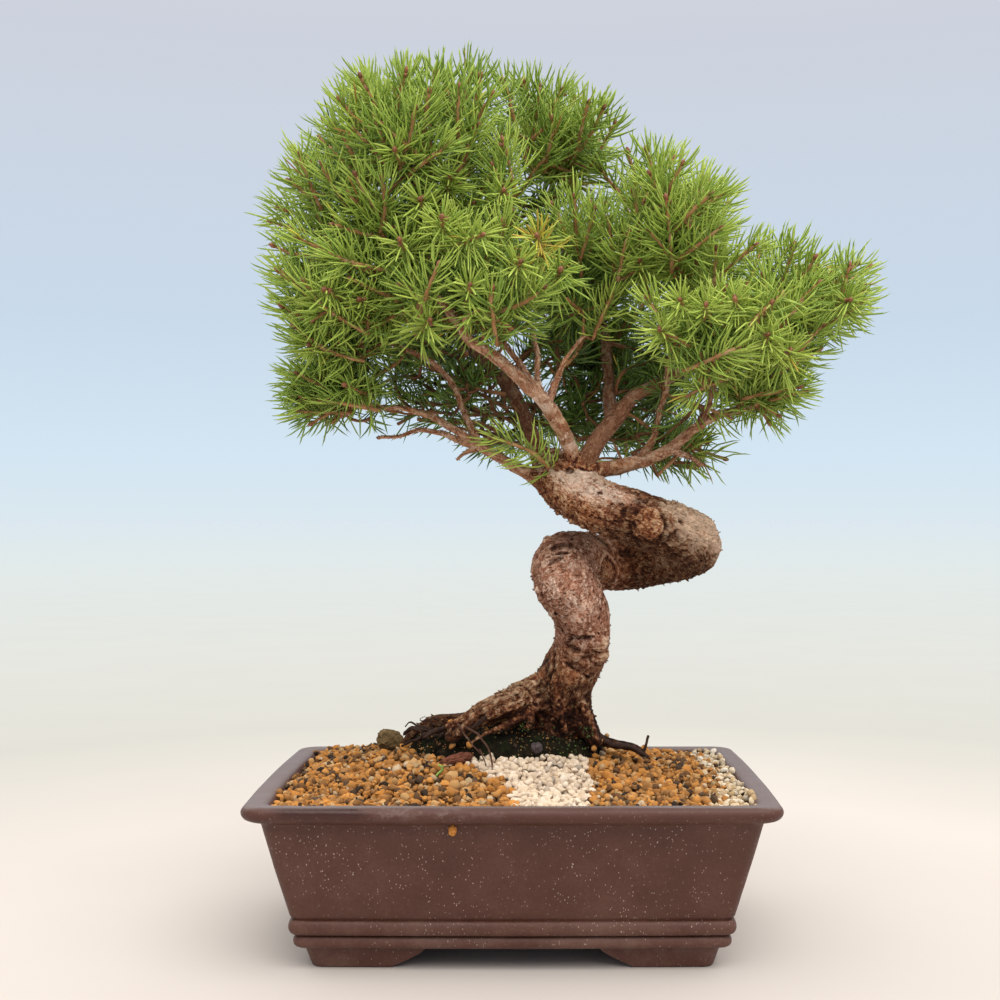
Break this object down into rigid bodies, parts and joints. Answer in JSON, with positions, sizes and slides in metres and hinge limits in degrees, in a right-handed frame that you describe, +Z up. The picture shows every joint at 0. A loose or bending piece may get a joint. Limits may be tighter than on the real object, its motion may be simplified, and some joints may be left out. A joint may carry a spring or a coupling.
{
  "type": "spruce bonsai",
  "caption": "Spruce bonsai: corkscrew trunk over surface roots, layered needle foliage, in a shallow rectangular footed ceramic pot filled with grit and pumice. Stands on a flat surface.",
  "frame": {"origin": "middle of the whole object's footprint box, on the ground under the pot's feet", "axes": "+Z up, +X to the right seen from the front, the pot's front faces -Y"},
  "size_m": [0.2794, 0.1774, 0.3924],
  "materials": {
    "unglazed_ceramic": "unglazed dark red-brown stoneware, satin, with fine cream flecks",
    "bark": "rough flaking bark, pinkish tan to orange-brown with dark furrows",
    "needles": "fresh green spruce needles, soft sheen",
    "moss_soil": "dark damp soil with moss",
    "ochre_grit": "matt fired clay granules, ochre with brown and grey grains",
    "pumice": "matt cream pumice granules",
    "pale_grit": "matt pale buff granules",
    "substrate": "matt brown granular soil",
    "mesh_plastic": "matt black moulded mesh",
    "aluminium_wire": "dull anodised wire",
    "clay_lump": "matt olive-brown clay",
    "bark_chunk": "rough reddish bark",
    "grey_stone": "matt grey stone",
    "sprout": "soft fresh green shoot"
  },
  "bodies": {
    "root": {"pot": "unglazed_ceramic", "drain_mesh_left": "mesh_plastic", "drain_mesh_right": "mesh_plastic", "mesh_wire_left": "aluminium_wire", "mesh_wire_right": "aluminium_wire", "substrate": "substrate", "trunk_and_branches": "bark", "grit_left": "ochre_grit", "pumice_patch": "pumice", "grit_right": "ochre_grit", "pale_grit_corner": "pale_grit", "mossy_root_ball": "moss_soil", "clay_lump": "clay_lump", "bark_chunk": "bark_chunk", "grey_stone": "grey_stone", "stray_grain": "ochre_grit", "sprout": "sprout", "foliage_left_crown": "needles", "foliage_left_shoulder": "needles", "foliage_left_low": "needles", "foliage_front_centre": "needles", "foliage_back_left": "needles", "foliage_top_back": "needles", "foliage_middle": "needles", "foliage_back_middle": "needles", "foliage_right_crown": "needles", "foliage_right_outer": "needles", "foliage_right_front": "needles", "foliage_right_back": "needles", "foliage_right_low": "needles", "foliage_right_hanging": "needles"}
  },
  "joints": []
}
